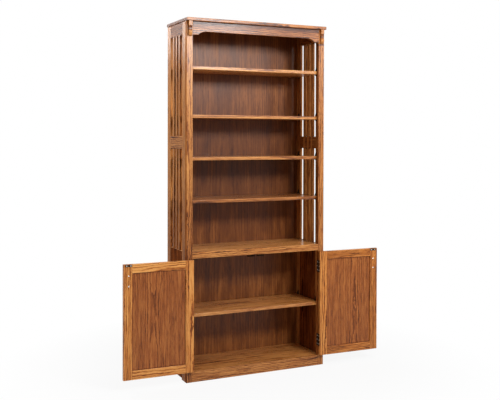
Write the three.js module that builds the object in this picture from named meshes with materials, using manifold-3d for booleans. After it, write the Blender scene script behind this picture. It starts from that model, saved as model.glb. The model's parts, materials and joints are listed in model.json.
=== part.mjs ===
// Tall oak bookcase: open adjustable shelves above, a cabinet with two panelled doors below.
// Millimetres, +Z up, the front of the case faces -Y. The doors stand open, as they rest here.
import * as THREE from 'three';
import { mergeVertices } from 'three/addons/utils/BufferGeometryUtils.js';
import Module from 'manifold-3d';

const wasm = await Module();
wasm.setup();

// Case
const overall_height = 2134;
const case_width = 924;
const case_depth = 330;
const joint_gap = 0.3;
const cut_overrun = 2;

// Top board
const top_thickness = 19;
const top_side_overhang = 5;
const top_front_overhang = 20;
const top_edge_radius = 3;

// Face frame
const frame_thickness = 22;
const stile_width = 38;
const base_rail_height = 62;
const middle_rail_top = 765;
const middle_rail_height = 38.5;
const valance_end_height = 78;
const valance_arch_rise = 21;
const valance_flat_length = 33;
const valance_curve_length = 55;

// Corbels under the top board
const corbel_width = 20;
const corbel_depth = 18;
const corbel_head_height = 27;
const corbel_scoop_height = 36;
const corbel_scoop_depth = 6;
const corbel_nose_height = 26;

// Slatted sides
const side_thickness = 15.5;
const side_stile_width = 54;
const side_top_rail_height = 72;
const side_middle_rail_height = 76;
const side_middle_rail_share = 0.502;
const side_panel_top = 764;
const foot_rise = 10.5;
const slat_width = 24;
const slat_space = 24;
const slat_count = 3;
const slat_tenon_length = 9;
const slat_tenon_thickness = 6;
const slat_tenon_width = 18;

// Back panel, shelves and the boards that close the cabinet
const back_thickness = 6;
const back_rabbet_depth = 7;
const board_thickness = 19;
const shelf_thickness = 19;
const shelf_front_setback = 3;
const shelf_back_clearance = 12;
const shelf_end_clearance = 3;
const upper_shelf_shares = [0.8085, 0.5967, 0.411, 0.223];
const cabinet_shelf_share = 0.4883;

// Shelf clips: a plate on the stile, a ledge under the shelf, a sprung finger over it
const clip_width = 12;
const clip_plate_thickness = 2;
const clip_rise = 26;
const clip_drop = 9;
const clip_ledge_length = 12;
const clip_ledge_thickness = 2.5;
const clip_finger_reach = 10;
const clip_finger_thickness = 2.5;
const clip_front_distance = 40;
const clip_back_distance = 34;

// Doors
const door_thickness = 19;
const door_side_gap = 2;
const door_meeting_gap = 2;
const door_end_gap = 5;
const door_member_width = 51;
const door_panel_thickness = 6;
const door_groove_depth = 9;
const door_panel_play = 1;
const left_door_rest_angle = 181;
const right_door_rest_angle = 178.5;

// Butt hinges
const hinge_height = 75;
const hinge_end_distance = 94.5;
const hinge_leaf_width = 17;
const hinge_leaf_thickness = 1.5;
const knuckle_radius = 3;
const knuckle_count = 5;
const knuckle_gap = 0.4;
const hinge_pin_radius = 1.4;
const hinge_bore_clearance = 0.3;
const hinge_pin_head_radius = 2.4;
const hinge_pin_head_height = 1.5;
const knuckle_sides = 16;

// Bow pulls and their screws
const pull_screw_spacing = 59;
const pull_edge_distance = 30;
const pull_top_distance = 95;
const pull_projection = 26;
const pull_grip_thickness = 8;
const pull_width = 11;
const pull_foot_height = 12;
const screw_shank_radius = 2;
const screw_head_radius = 4;
const screw_head_height = 2.4;
const screw_hole_clearance = 0.3;
const screw_thread_depth = 8;
const screw_sides = 16;

// Magnetic catches under the fixed shelf, and the strikes on the doors
const strike_length = 40;
const strike_height = 12;
const strike_thickness = 1.2;
const strike_top_distance = 2;
const strike_edge_distance = 31;
const catch_length = 46;
const catch_depth = 15;
const catch_drop = 15;

// Places worked out from the sizes above
const half_width = case_width / 2;
const top_underside = overall_height - top_thickness;
const opening_half = half_width - stile_width;
const inner_half = half_width - side_thickness;
const middle_rail_bottom = middle_rail_top - middle_rail_height;
const side_front = frame_thickness + joint_gap;
const side_front_stile_back = frame_thickness + side_stile_width;
const side_rear_stile_front = case_depth - side_stile_width;
const side_top_rail_bottom = top_underside - side_top_rail_height;
const side_middle_rail_centre = side_panel_top
  + (side_top_rail_bottom - side_panel_top) * side_middle_rail_share;
const side_middle_rail_bottom = side_middle_rail_centre - side_middle_rail_height / 2;
const side_middle_rail_top = side_middle_rail_bottom + side_middle_rail_height;
const back_front = case_depth - back_thickness;
const shelf_front = frame_thickness + shelf_front_setback;
const shelf_back = back_front - shelf_back_clearance;
const shelf_half = inner_half - shelf_end_clearance;
const shelf_tops = shelfTops();
const door_bottom = base_rail_height + door_end_gap;
const door_height = middle_rail_bottom - door_end_gap - door_bottom;
const door_width = opening_half - door_side_gap - door_meeting_gap / 2;
const pin_inset = door_side_gap / 2;
const pin_forward = knuckle_radius + joint_gap;

// The upper shelves share the height over the middle rail, the cabinet shelf the height in the cabinet
function shelfTops() {
  const upper_height = top_underside - middle_rail_top;
  const upper_tops = upper_shelf_shares.map(
    (share, index) => [`shelf_${index + 1}`, middle_rail_top + upper_height * share]);
  const cabinet_height = middle_rail_top - board_thickness - base_rail_height;
  const cabinet_shelf = base_rail_height + cabinet_height * cabinet_shelf_share;
  return { ...Object.fromEntries(upper_tops), cabinet_shelf };
}

// Finishes
const oak = (name, color, roughness) =>
  new THREE.MeshStandardMaterial({ name, color, roughness, metalness: 0 });
const frame_oak = oak('frame_oak', 0xb06a35, 0.45);
const side_oak = oak('side_oak', 0x8f5730, 0.5);
const shelf_oak = oak('shelf_oak', 0x9c5f31, 0.5);
const back_oak = oak('back_oak', 0x5b3722, 0.6);
const door_oak = oak('door_oak', 0xb2703a, 0.45);
const panel_oak = oak('panel_oak', 0x875230, 0.5);
const dark_metal = new THREE.MeshStandardMaterial({
  name: 'dark_metal', color: 0x2a211b, roughness: 0.4, metalness: 0.8,
});
const bright_metal = new THREE.MeshStandardMaterial({
  name: 'bright_metal', color: 0xc9c6bf, roughness: 0.3, metalness: 1,
});
const catch_plastic = new THREE.MeshStandardMaterial({
  name: 'catch_plastic', color: 0x2b1d15, roughness: 0.6, metalness: 0,
});

const bookcase = new THREE.Group();
const carcass = new THREE.Group();
bookcase.add(carcass);

function addPiece(group, name, geometry, material) {
  geometry.computeVertexNormals();
  const mesh = new THREE.Mesh(geometry, material);
  mesh.name = name;
  group.add(mesh);
  return mesh;
}

// A box from three [from, to] ranges, which may run either way
function boxFrom(x, y, z) {
  const spans = [x, y, z].map(([from, to]) => [Math.min(from, to), Math.max(from, to)]);
  const [size_x, size_y, size_z] = spans.map(([from, to]) => to - from);
  const geometry = new THREE.BoxGeometry(size_x, size_y, size_z);
  const [middle_x, middle_y, middle_z] = spans.map(([from, to]) => (from + to) / 2);
  return geometry.translate(middle_x, middle_y, middle_z);
}

function extrude(outline, length) {
  return new THREE.ExtrudeGeometry(outline, { depth: length, bevelEnabled: false });
}

// A front outline (X, Z) running along Y
function frontal(outline, front, back) {
  const along = new THREE.Matrix4().makeBasis(
    new THREE.Vector3(1, 0, 0), new THREE.Vector3(0, 0, 1), new THREE.Vector3(0, -1, 0));
  return extrude(outline, back - front).applyMatrix4(along).translate(0, back, 0);
}

// A side outline (Y, Z) running along X
function sideways(outline, x_from, x_to) {
  const low = Math.min(x_from, x_to);
  const along = new THREE.Matrix4().makeBasis(
    new THREE.Vector3(0, 1, 0), new THREE.Vector3(0, 0, 1), new THREE.Vector3(1, 0, 0));
  return extrude(outline, Math.abs(x_to - x_from)).applyMatrix4(along).translate(low, 0, 0);
}

function upright(radius, x, y, bottom, top, sides) {
  const geometry = new THREE.CylinderGeometry(radius, radius, top - bottom, sides);
  return geometry.rotateX(Math.PI / 2).translate(x, y, (bottom + top) / 2);
}

function outlineOf(points) {
  return new THREE.Shape(points.map(([a, b]) => new THREE.Vector2(a, b)));
}

function toSolid(geometry) {
  const bare = geometry.clone();
  bare.deleteAttribute('normal');
  bare.deleteAttribute('uv');
  const merged = mergeVertices(bare);
  return new wasm.Manifold(new wasm.Mesh({
    numProp: 3,
    vertProperties: new Float32Array(merged.attributes.position.array),
    triVerts: new Uint32Array(merged.index.array),
  }));
}

function toGeometry(solid) {
  const mesh = solid.getMesh();
  const geometry = new THREE.BufferGeometry();
  geometry.setAttribute('position', new THREE.BufferAttribute(mesh.vertProperties, 3));
  geometry.setIndex(new THREE.BufferAttribute(mesh.triVerts, 1));
  return geometry;
}

// One body from parts that meet, with the given pieces cut away
function shaped(parts, cuts = []) {
  let solid = toSolid(parts[0]);
  for (const part of parts.slice(1)) solid = solid.add(toSolid(part));
  for (const cut of cuts) solid = solid.subtract(toSolid(cut));
  return toGeometry(solid);
}

// Top board: rounded along every edge, flush with the back of the case
function addTopBoard() {
  const x_edge = half_width + top_side_overhang - top_edge_radius;
  const y_front = -top_front_overhang + top_edge_radius;
  const y_back = case_depth - top_edge_radius;
  const outline = outlineOf([[-x_edge, y_front], [x_edge, y_front], [x_edge, y_back], [-x_edge, y_back]]);
  const board = new THREE.ExtrudeGeometry(outline, {
    depth: top_thickness - 2 * top_edge_radius,
    bevelThickness: top_edge_radius,
    bevelSize: top_edge_radius,
    bevelSegments: 3,
  });
  board.translate(0, 0, top_underside + top_edge_radius);
  addPiece(carcass, 'top_board', board, frame_oak);
}

// Recess for a hinge leaf in an upright edge at x_edge; into_wood is the X direction of the wood
function leafRecess(x_edge, into_wood, bottom) {
  return boxFrom(
    [x_edge - into_wood * cut_overrun, x_edge + into_wood * (hinge_leaf_thickness + joint_gap)],
    [-cut_overrun, hinge_leaf_width + joint_gap],
    [bottom - joint_gap, bottom + hinge_height + joint_gap]);
}

const hinge_bottoms = {
  upper: door_bottom + door_height - hinge_end_distance - hinge_height / 2,
  lower: door_bottom + hinge_end_distance - hinge_height / 2,
};

function addFaceFrame() {
  for (const [name, side] of [['left', -1], ['right', 1]]) {
    const stile = boxFrom([side * opening_half, side * half_width], [0, frame_thickness],
      [0, top_underside - joint_gap]);
    const recesses = Object.values(hinge_bottoms).map(
      (bottom) => leafRecess(side * opening_half, side, bottom));
    addPiece(carcass, `${name}_face_stile`, shaped([stile], recesses), frame_oak);
  }
  const rail_half = opening_half - joint_gap;
  addPiece(carcass, 'base_rail',
    boxFrom([-rail_half, rail_half], [0, frame_thickness], [0, base_rail_height]), frame_oak);
  addPiece(carcass, 'middle_rail', boxFrom([-rail_half, rail_half], [0, frame_thickness],
    [middle_rail_bottom, middle_rail_top]), frame_oak);
  addPiece(carcass, 'valance', frontal(valanceOutline(rail_half), 0, frame_thickness), frame_oak);
}

// Flat ends, then an arc that runs level into the straight middle
function valanceOutline(rail_half) {
  const low = top_underside - valance_end_height;
  const high = low + valance_arch_rise;
  const flat_end = opening_half - valance_flat_length;
  const arc_radius = (valance_curve_length ** 2 + valance_arch_rise ** 2) / (2 * valance_arch_rise);
  const arc_angle = Math.asin(valance_curve_length / arc_radius);
  const arc_centre_x = flat_end - valance_curve_length;
  const arc_centre_z = high - arc_radius;
  const up = Math.PI / 2;
  const outline = new THREE.Shape();
  outline.moveTo(-rail_half, top_underside - joint_gap);
  outline.lineTo(-rail_half, low);
  outline.lineTo(-flat_end, low);
  outline.absarc(-arc_centre_x, arc_centre_z, arc_radius, up + arc_angle, up, true);
  outline.absarc(arc_centre_x, arc_centre_z, arc_radius, up, up - arc_angle, true);
  outline.lineTo(rail_half, low);
  outline.lineTo(rail_half, top_underside - joint_gap);
  return outline;
}

// Square head, a hollow below it and a rounded nose that turns back into the stile
function addCorbels() {
  const back = -joint_gap;
  const front = -corbel_depth;
  const top = top_underside - joint_gap;
  const scoop_radius = corbel_scoop_height / 2;
  const scoop_centre = top - corbel_head_height - scoop_radius;
  const nose_top = scoop_centre - scoop_radius;
  const quarter = Math.PI / 2;
  const profile = new THREE.Shape();
  profile.moveTo(back, top);
  profile.lineTo(front, top);
  profile.lineTo(front, scoop_centre + scoop_radius);
  profile.absellipse(front, scoop_centre, corbel_scoop_depth, scoop_radius, quarter, -quarter, true);
  profile.absellipse(back, nose_top, back - front, corbel_nose_height,
    2 * quarter, 3 * quarter, false);
  for (const [name, side] of [['left', -1], ['right', 1]]) {
    const middle = side * (half_width - stile_width / 2);
    addPiece(carcass, `${name}_corbel`,
      sideways(profile, middle - corbel_width / 2, middle + corbel_width / 2), frame_oak);
  }
}

const slat_fronts = Array.from({ length: slat_count }, (_, index) => {
  const middle = (side_front_stile_back + side_rear_stile_front) / 2;
  const block = slat_count * slat_width + (slat_count - 1) * slat_space;
  return middle - block / 2 + index * (slat_width + slat_space);
});

// One clip on the inner face of a side, joined to the stile that it is pinned in
function clipParts(side, centre_y, shelf_top) {
  const root = side * (inner_half + clip_plate_thickness / 2);
  const inward = (distance) => side * (inner_half - distance);
  const y = [centre_y - clip_width / 2, centre_y + clip_width / 2];
  const shelf_bottom = shelf_top - shelf_thickness - joint_gap;
  const finger_bottom = shelf_top + joint_gap;
  const finger_top = shelf_top + clip_rise;
  const finger = outlineOf([
    [root, finger_top], [inward(clip_plate_thickness), finger_top],
    [inward(clip_finger_reach), finger_bottom + clip_finger_thickness],
    [inward(clip_finger_reach), finger_bottom],
    [inward(clip_finger_reach - clip_finger_thickness), finger_bottom],
    [root, finger_top - clip_finger_thickness * 2],
  ]);
  const gusset = outlineOf([
    [root, shelf_bottom], [inward(clip_ledge_length), shelf_bottom],
    [inward(clip_ledge_length), shelf_bottom - clip_ledge_thickness],
    [inward(clip_plate_thickness), shelf_bottom - clip_drop], [root, shelf_bottom - clip_drop],
  ]);
  return [
    boxFrom([root, inward(clip_plate_thickness)], y, [shelf_bottom - clip_drop, finger_top]),
    frontal(finger, ...y),
    frontal(gusset, ...y),
  ];
}

function addSides() {
  for (const [name, side] of [['left', -1], ['right', 1]]) {
    const across = [side * inner_half, side * half_width];
    const stile_top = top_underside - joint_gap;
    const clip_front_y = side_front + clip_front_distance;
    const clip_back_y = case_depth - clip_back_distance;

    const front_clips = Object.values(shelf_tops).flatMap((level) => clipParts(side, clip_front_y, level));
    const front_stile = boxFrom(across, [side_front, side_front_stile_back], [0, stile_top]);
    addPiece(carcass, `${name}_side_front_stile`, shaped([front_stile, ...front_clips]), side_oak);

    const rear_clips = Object.values(shelf_tops).flatMap((level) => clipParts(side, clip_back_y, level));
    const rear_stile = boxFrom(across, [side_rear_stile_front, case_depth], [0, stile_top]);
    const rabbet = boxFrom(
      [side * (inner_half - cut_overrun), side * (inner_half + back_rabbet_depth)],
      [back_front - joint_gap, case_depth + cut_overrun], [-cut_overrun, stile_top + cut_overrun]);
    addPiece(carcass, `${name}_side_rear_stile`,
      shaped([rear_stile, ...rear_clips], [rabbet]), side_oak);

    const rail_y = [side_front_stile_back + joint_gap, side_rear_stile_front - joint_gap];
    const mortises = slat_fronts.map((front) => tenonBox(side, front, joint_gap,
      side_panel_top - slat_tenon_length - joint_gap,
      side_top_rail_bottom + slat_tenon_length + joint_gap));
    const top_rail = boxFrom(across, rail_y, [side_top_rail_bottom, stile_top]);
    addPiece(carcass, `${name}_side_top_rail`, shaped([top_rail], mortises), side_oak);

    const laps = slat_fronts.map((front) => boxFrom(
      [side * (inner_half - cut_overrun), side * (inner_half + side_thickness / 2)],
      [front - joint_gap, front + slat_width + joint_gap],
      [side_middle_rail_bottom - cut_overrun, side_middle_rail_top + cut_overrun]));
    const middle_rail = boxFrom(across, rail_y, [side_middle_rail_bottom, side_middle_rail_top]);
    addPiece(carcass, `${name}_side_middle_rail`, shaped([middle_rail], laps), side_oak);

    const panel = boxFrom(across, rail_y, [foot_rise, side_panel_top]);
    addPiece(carcass, `${name}_side_panel`, shaped([panel], mortises), side_oak);

    slat_fronts.forEach((front, index) => {
      addPiece(carcass, `${name}_slat_${index + 1}`, slat(side, front), side_oak);
    });
  }
}

function tenonBox(side, front, play, bottom, top) {
  const middle_x = side * (inner_half + side_thickness / 2);
  const middle_y = front + slat_width / 2;
  return boxFrom(
    [middle_x - slat_tenon_thickness / 2 - play, middle_x + slat_tenon_thickness / 2 + play],
    [middle_y - slat_tenon_width / 2 - play, middle_y + slat_tenon_width / 2 + play],
    [bottom, top]);
}

// A slat runs past the middle rail, half lapped over it on the inner side
function slat(side, front) {
  const body = boxFrom([side * inner_half, side * half_width], [front, front + slat_width],
    [side_panel_top + joint_gap, side_top_rail_bottom - joint_gap]);
  const tenons = tenonBox(side, front, 0,
    side_panel_top - slat_tenon_length, side_top_rail_bottom + slat_tenon_length);
  const lap = boxFrom(
    [side * (inner_half + side_thickness / 2 - joint_gap), side * (half_width + cut_overrun)],
    [front - cut_overrun, front + slat_width + cut_overrun],
    [side_middle_rail_bottom - joint_gap, side_middle_rail_top + joint_gap]);
  return shaped([body, tenons], [lap]);
}

function addBackAndShelves() {
  const back_half = inner_half + back_rabbet_depth - joint_gap;
  addPiece(carcass, 'back_panel', boxFrom([-back_half, back_half], [back_front, case_depth],
    [base_rail_height - board_thickness, top_underside - joint_gap]), back_oak);

  const board_half = inner_half - joint_gap;
  const board_y = [frame_thickness + joint_gap, back_front - joint_gap];
  addPiece(carcass, 'cabinet_floor', boxFrom([-board_half, board_half], board_y,
    [base_rail_height - board_thickness, base_rail_height]), shelf_oak);
  addPiece(carcass, 'fixed_shelf', boxFrom([-board_half, board_half], board_y,
    [middle_rail_top - board_thickness, middle_rail_top]), shelf_oak);

  for (const [name, top] of Object.entries(shelf_tops)) {
    addPiece(carcass, name, boxFrom([-shelf_half, shelf_half], [shelf_front, shelf_back],
      [top - shelf_thickness, top]), shelf_oak);
  }
}

// Magnetic catches hang from the fixed shelf, just behind the closed doors
function addCatches() {
  const middle_x = door_meeting_gap / 2 + strike_edge_distance;
  const front = frame_thickness + joint_gap;
  const top = middle_rail_top - board_thickness - joint_gap;
  const body_bottom = middle_rail_bottom - catch_drop;
  const magnet_top = middle_rail_bottom - joint_gap;
  const magnet_front = door_thickness + strike_thickness + joint_gap;
  for (const [name, side] of [['left', -1], ['right', 1]]) {
    const x = [side * middle_x - catch_length / 2, side * middle_x + catch_length / 2];
    const body = boxFrom(x, [front, front + catch_depth], [body_bottom, top]);
    const magnet = boxFrom(x, [magnet_front, front + catch_depth / 2], [body_bottom, magnet_top]);
    addPiece(carcass, `${name}_magnetic_catch`, shaped([body, magnet]), catch_plastic);
  }
}

// Door pieces are drawn closed, in a group whose origin is the hinge pin line.
// The free edge lies towards the middle of the case: inward is +1 for the left door, -1 for the right.
function addDoor(name, side, rest_angle) {
  const inward = -side;
  const door = new THREE.Group();
  door.position.set(side * (opening_half - pin_inset), -pin_forward, 0);
  door.rotation.z = side * THREE.MathUtils.degToRad(rest_angle);
  bookcase.add(door);

  const out = (distance) => inward * (pin_inset + distance);
  const face = [pin_forward, pin_forward + door_thickness];
  const z_low = door_bottom;
  const z_high = door_bottom + door_height;
  const groove_half = door_panel_thickness / 2 + joint_gap;
  const panel_y = pin_forward + door_thickness / 2;
  const groove_y = [panel_y - groove_half, panel_y + groove_half];
  const panel_from = door_member_width - door_groove_depth;
  const panel_to = door_width - panel_from;
  const groove = boxFrom([out(panel_from), out(panel_to)], groove_y,
    [z_low + panel_from, z_high - panel_from]);
  const tenon_y = [panel_y - door_panel_thickness / 2, panel_y + door_panel_thickness / 2];
  const tenon_mortises = [z_low, z_high - door_member_width].map((bottom) => boxFrom(
    [out(panel_from), out(panel_to)], groove_y,
    [bottom - cut_overrun, bottom + door_member_width + joint_gap]));

  const screw_x = out(door_width - pull_edge_distance);
  const pull_z = z_high - pull_top_distance;
  const screw_heights = {
    upper: pull_z + pull_screw_spacing / 2,
    lower: pull_z - pull_screw_spacing / 2,
  };
  const screwHoles = (from, to) => Object.values(screw_heights).map((z) => alongY(
    screw_shank_radius + screw_hole_clearance, screw_x, z, from, to));

  const hinge_edge = out(0);
  const recesses = Object.values(hinge_bottoms).map((bottom) => leafRecess(hinge_edge, inward, bottom)
    .translate(0, pin_forward, 0));
  const hinge_stile = boxFrom([hinge_edge, out(door_member_width)], face, [z_low, z_high]);
  addPiece(door, `${name}_door_hinge_stile`,
    shaped([hinge_stile], [groove, ...tenon_mortises, ...recesses]), door_oak);

  const free_stile = boxFrom([out(door_width - door_member_width), out(door_width)], face,
    [z_low, z_high]);
  addPiece(door, `${name}_door_free_stile`,
    shaped([free_stile], [groove, ...tenon_mortises, ...screwHoles(0, face[1] + cut_overrun)]),
    door_oak);

  const rail_x = [out(door_member_width + joint_gap), out(door_width - door_member_width - joint_gap)];
  const tenon_x = [out(panel_from + joint_gap), out(panel_to - joint_gap)];
  const rails = { top: z_high - door_member_width, bottom: z_low };
  for (const [place, bottom] of Object.entries(rails)) {
    const z = [bottom, bottom + door_member_width];
    addPiece(door, `${name}_door_${place}_rail`,
      shaped([boxFrom(rail_x, face, z), boxFrom(tenon_x, tenon_y, z)], [groove]), door_oak);
  }

  const panel_inset = panel_from + door_panel_play;
  addPiece(door, `${name}_door_panel`, boxFrom([out(panel_inset), out(door_width - panel_inset)],
    tenon_y, [z_low + panel_inset, z_high - panel_inset]), panel_oak);

  addPull(door, name, screw_x, pull_z, screw_heights);
  for (const [place, z] of Object.entries(screw_heights)) {
    addPullScrew(door, `${name}_pull_${place}_screw`, screw_x, z, face[1]);
  }

  const strike_x = door_width - strike_edge_distance;
  const strike = boxFrom([out(strike_x - strike_length / 2), out(strike_x + strike_length / 2)],
    [face[1] + joint_gap, face[1] + strike_thickness],
    [z_high - strike_top_distance - strike_height, z_high - strike_top_distance]);
  addPiece(door, `${name}_strike`, strike, dark_metal);

  for (const [place, bottom] of Object.entries(hinge_bottoms)) {
    addHinge(door, name, place, side, bottom);
  }
}

function alongY(radius, x, z, from, to) {
  const geometry = new THREE.CylinderGeometry(radius, radius, to - from, screw_sides);
  return geometry.translate(x, (from + to) / 2, z);
}

// A bow pull on the outer face: two feet and a grip that curves between them
function addPull(door, name, screw_x, pull_z, screw_heights) {
  const seat = pin_forward - joint_gap;
  const front = seat - pull_projection;
  const reach = pull_screw_spacing / 2 + pull_foot_height / 2;
  const inner = reach - pull_foot_height;
  const grip_back = front + pull_grip_thickness;
  const outline = new THREE.Shape();
  outline.moveTo(seat, pull_z - reach);
  outline.bezierCurveTo(front, pull_z - reach, front, pull_z - inner, front, pull_z);
  outline.bezierCurveTo(front, pull_z + inner, front, pull_z + reach, seat, pull_z + reach);
  outline.lineTo(seat, pull_z + inner);
  outline.bezierCurveTo(grip_back, pull_z + inner, grip_back, pull_z + inner / 2, grip_back, pull_z);
  outline.bezierCurveTo(grip_back, pull_z - inner / 2, grip_back, pull_z - inner, seat, pull_z - inner);
  const bow = sideways(outline, screw_x - pull_width / 2, screw_x + pull_width / 2);
  const threads = Object.values(screw_heights).map((z) => alongY(
    screw_shank_radius + screw_hole_clearance, screw_x, z,
    seat - screw_thread_depth - joint_gap, seat + cut_overrun));
  addPiece(door, `${name}_door_pull`, shaped([bow], threads), dark_metal);
}

// The head seats on the inner face; the shank runs through the stile into the pull
function addPullScrew(door, name, x, z, inner_face) {
  const head_seat = inner_face + joint_gap;
  const tip = pin_forward - joint_gap - screw_thread_depth;
  const head_overlap = screw_head_height / 2;
  addPiece(door, name, shaped([
    alongY(screw_head_radius, x, z, head_seat, head_seat + screw_head_height),
    alongY(screw_shank_radius, x, z, tip, head_seat + head_overlap),
  ]), bright_metal);
}

// Knuckles alternate: the frame leaf holds the first, third and fifth, the door leaf the others.
// The pin belongs to the door leaf and runs in the frame leaf's bores.
function addHinge(door, name, place, side, bottom) {
  const knuckle_length = hinge_height / knuckle_count;
  const bore_radius = hinge_pin_radius + hinge_bore_clearance;
  const knuckleZ = (index) => [
    bottom + index * knuckle_length + (index > 0 ? knuckle_gap / 2 : 0),
    bottom + (index + 1) * knuckle_length - (index < knuckle_count - 1 ? knuckle_gap / 2 : 0),
  ];
  const indexes = Array.from({ length: knuckle_count }, (_, index) => index);
  const frame_indexes = indexes.filter((index) => index % 2 === 0);
  const door_indexes = indexes.filter((index) => index % 2 === 1);
  const clearances = (kept) => kept.map((index) => boxFrom(
    [-knuckle_radius * 2, knuckle_radius * 2], [-knuckle_radius * 2, knuckle_radius + joint_gap],
    [knuckleZ(index)[0] - knuckle_gap, knuckleZ(index)[1] + knuckle_gap]));

  // Both leaves are drawn about the pin line, in the closed pose
  const leafParts = (into_wood, kept) => {
    const plate_near = into_wood * pin_inset;
    const plate = boxFrom([plate_near, plate_near + into_wood * hinge_leaf_thickness],
      [0, pin_forward + hinge_leaf_width], [bottom, bottom + hinge_height]);
    return [plate, ...kept.map((index) => upright(knuckle_radius, 0, 0, ...knuckleZ(index), knuckle_sides))];
  };

  const bore = upright(bore_radius, 0, 0, bottom - cut_overrun, bottom + hinge_height + cut_overrun,
    knuckle_sides);
  const frame_leaf = shaped(leafParts(side, frame_indexes), [...clearances(door_indexes), bore]);
  frame_leaf.translate(door.position.x, door.position.y, 0);
  addPiece(carcass, `${name}_${place}_hinge_frame_leaf`, frame_leaf, dark_metal);

  const door_leaf = toSolid(shaped(leafParts(-side, door_indexes), clearances(frame_indexes)));
  const pin_bottom = bottom - joint_gap - hinge_pin_head_height;
  const pin_top = bottom + hinge_height + joint_gap;
  const pin = shaped([
    upright(hinge_pin_radius, 0, 0, pin_bottom, pin_top + hinge_pin_head_height, knuckle_sides),
    upright(hinge_pin_head_radius, 0, 0, pin_bottom, pin_bottom + hinge_pin_head_height, knuckle_sides),
    upright(hinge_pin_head_radius, 0, 0, pin_top, pin_top + hinge_pin_head_height, knuckle_sides),
  ]);
  addPiece(door, `${name}_${place}_hinge_door_leaf`, toGeometry(door_leaf.add(toSolid(pin))), dark_metal);
}

addTopBoard();
addFaceFrame();
addCorbels();
addSides();
addBackAndShelves();
addCatches();
addDoor('left', -1, left_door_rest_angle);
addDoor('right', 1, right_door_rest_angle);

// The origin is the middle of the whole piece's footprint, on the floor
bookcase.updateMatrixWorld(true);
const bounds = new THREE.Box3().setFromObject(bookcase, true);
const footprint = bounds.getCenter(new THREE.Vector3());
bookcase.position.set(-footprint.x, -footprint.y, -bounds.min.z);
bookcase.updateMatrixWorld(true);

export default bookcase;
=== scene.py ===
import json
import math
import random

import bmesh
import bpy
from mathutils import Matrix, Vector


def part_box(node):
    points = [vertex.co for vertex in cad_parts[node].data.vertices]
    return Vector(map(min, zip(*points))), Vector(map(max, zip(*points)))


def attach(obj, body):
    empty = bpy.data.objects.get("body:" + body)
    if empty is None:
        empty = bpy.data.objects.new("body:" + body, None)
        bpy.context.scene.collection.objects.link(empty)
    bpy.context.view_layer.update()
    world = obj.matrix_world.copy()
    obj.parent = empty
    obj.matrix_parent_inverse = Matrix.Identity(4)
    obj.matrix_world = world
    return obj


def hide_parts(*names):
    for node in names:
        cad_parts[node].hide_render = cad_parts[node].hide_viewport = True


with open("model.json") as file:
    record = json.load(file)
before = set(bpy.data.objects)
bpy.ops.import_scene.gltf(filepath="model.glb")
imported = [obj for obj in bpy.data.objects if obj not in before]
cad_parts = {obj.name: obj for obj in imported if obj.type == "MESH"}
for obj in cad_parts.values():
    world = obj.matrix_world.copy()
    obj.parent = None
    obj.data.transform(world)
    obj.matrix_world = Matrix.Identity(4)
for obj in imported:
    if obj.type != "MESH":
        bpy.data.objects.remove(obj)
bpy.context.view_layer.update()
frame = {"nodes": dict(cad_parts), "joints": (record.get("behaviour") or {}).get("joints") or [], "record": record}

MM = 0.001
record = frame["record"]
nodes = frame["nodes"]
scene = bpy.context.scene
slots = {part["node"]: part["material_slot"] for part in record["subparts"]}
body_of = {node: body for body, members in record["behaviour"]["bodies"].items() for node in members}
sides = {"left": -1, "right": 1}

# The camera sees the case as the photograph does, in a picture of 500 by 400 pixels.
picture_width = 500
picture_height = 400
camera_place = Vector((-2.10014, -4.45047, 1.43654))
camera_yaw = math.radians(25.43)
camera_pitch = math.radians(-0.75)
camera_roll = math.radians(0.14)
focal_pixels = 789.17
axis_row = 147.86
sensor_width_mm = 36


def make_camera():
    data = bpy.data.cameras.new("camera")
    data.sensor_fit = "HORIZONTAL"
    data.sensor_width = sensor_width_mm
    data.lens = focal_pixels * sensor_width_mm / picture_width
    data.shift_y = (axis_row - picture_height / 2) / picture_width
    camera = bpy.data.objects.new("camera", data)
    scene.collection.objects.link(camera)
    level = Vector((math.cos(camera_yaw), -math.sin(camera_yaw), 0))
    ahead = Vector((math.sin(camera_yaw), math.cos(camera_yaw), 0))
    up = Vector((0, 0, 1))
    forward = ahead * math.cos(camera_pitch) + up * math.sin(camera_pitch)
    above = up * math.cos(camera_pitch) - ahead * math.sin(camera_pitch)
    right = level * math.cos(camera_roll) + above * math.sin(camera_roll)
    top = above * math.cos(camera_roll) - level * math.sin(camera_roll)
    turn = Matrix((right, top, -forward)).transposed()
    camera.matrix_world = Matrix.Translation(camera_place) @ turn.to_4x4()
    scene.camera = camera


make_camera()


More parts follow.
